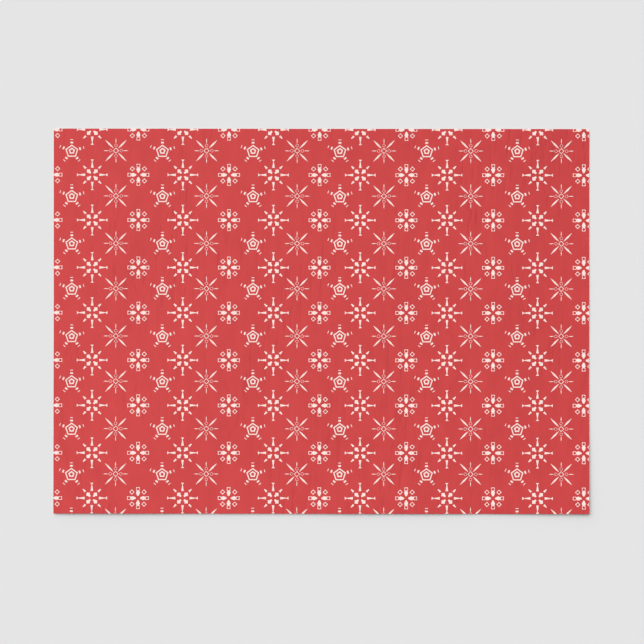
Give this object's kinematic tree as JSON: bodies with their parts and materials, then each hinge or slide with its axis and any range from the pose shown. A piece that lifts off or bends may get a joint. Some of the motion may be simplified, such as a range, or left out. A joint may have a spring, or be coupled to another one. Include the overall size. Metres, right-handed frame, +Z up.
{
  "type": "wrapping paper sheet",
  "caption": "Flat rectangular sheet of light gift wrapping paper with a full-bleed red print and white snowflakes.",
  "frame": {"origin": "centre of the sheet's underside, on the surface that it lies on", "axes": "+X along the long side, +Y along the short side towards the snowflakes' tops, +Z up out of the printed face"},
  "size_m": [0.354, 0.2544, 0.0001],
  "materials": {
    "base_paper": "matt uncoated warm white paper",
    "red_ink": "matt red flood print soaked into the paper"
  },
  "bodies": {
    "root": {"paper_sheet": "base_paper", "red_print": "red_ink"}
  },
  "joints": []
}
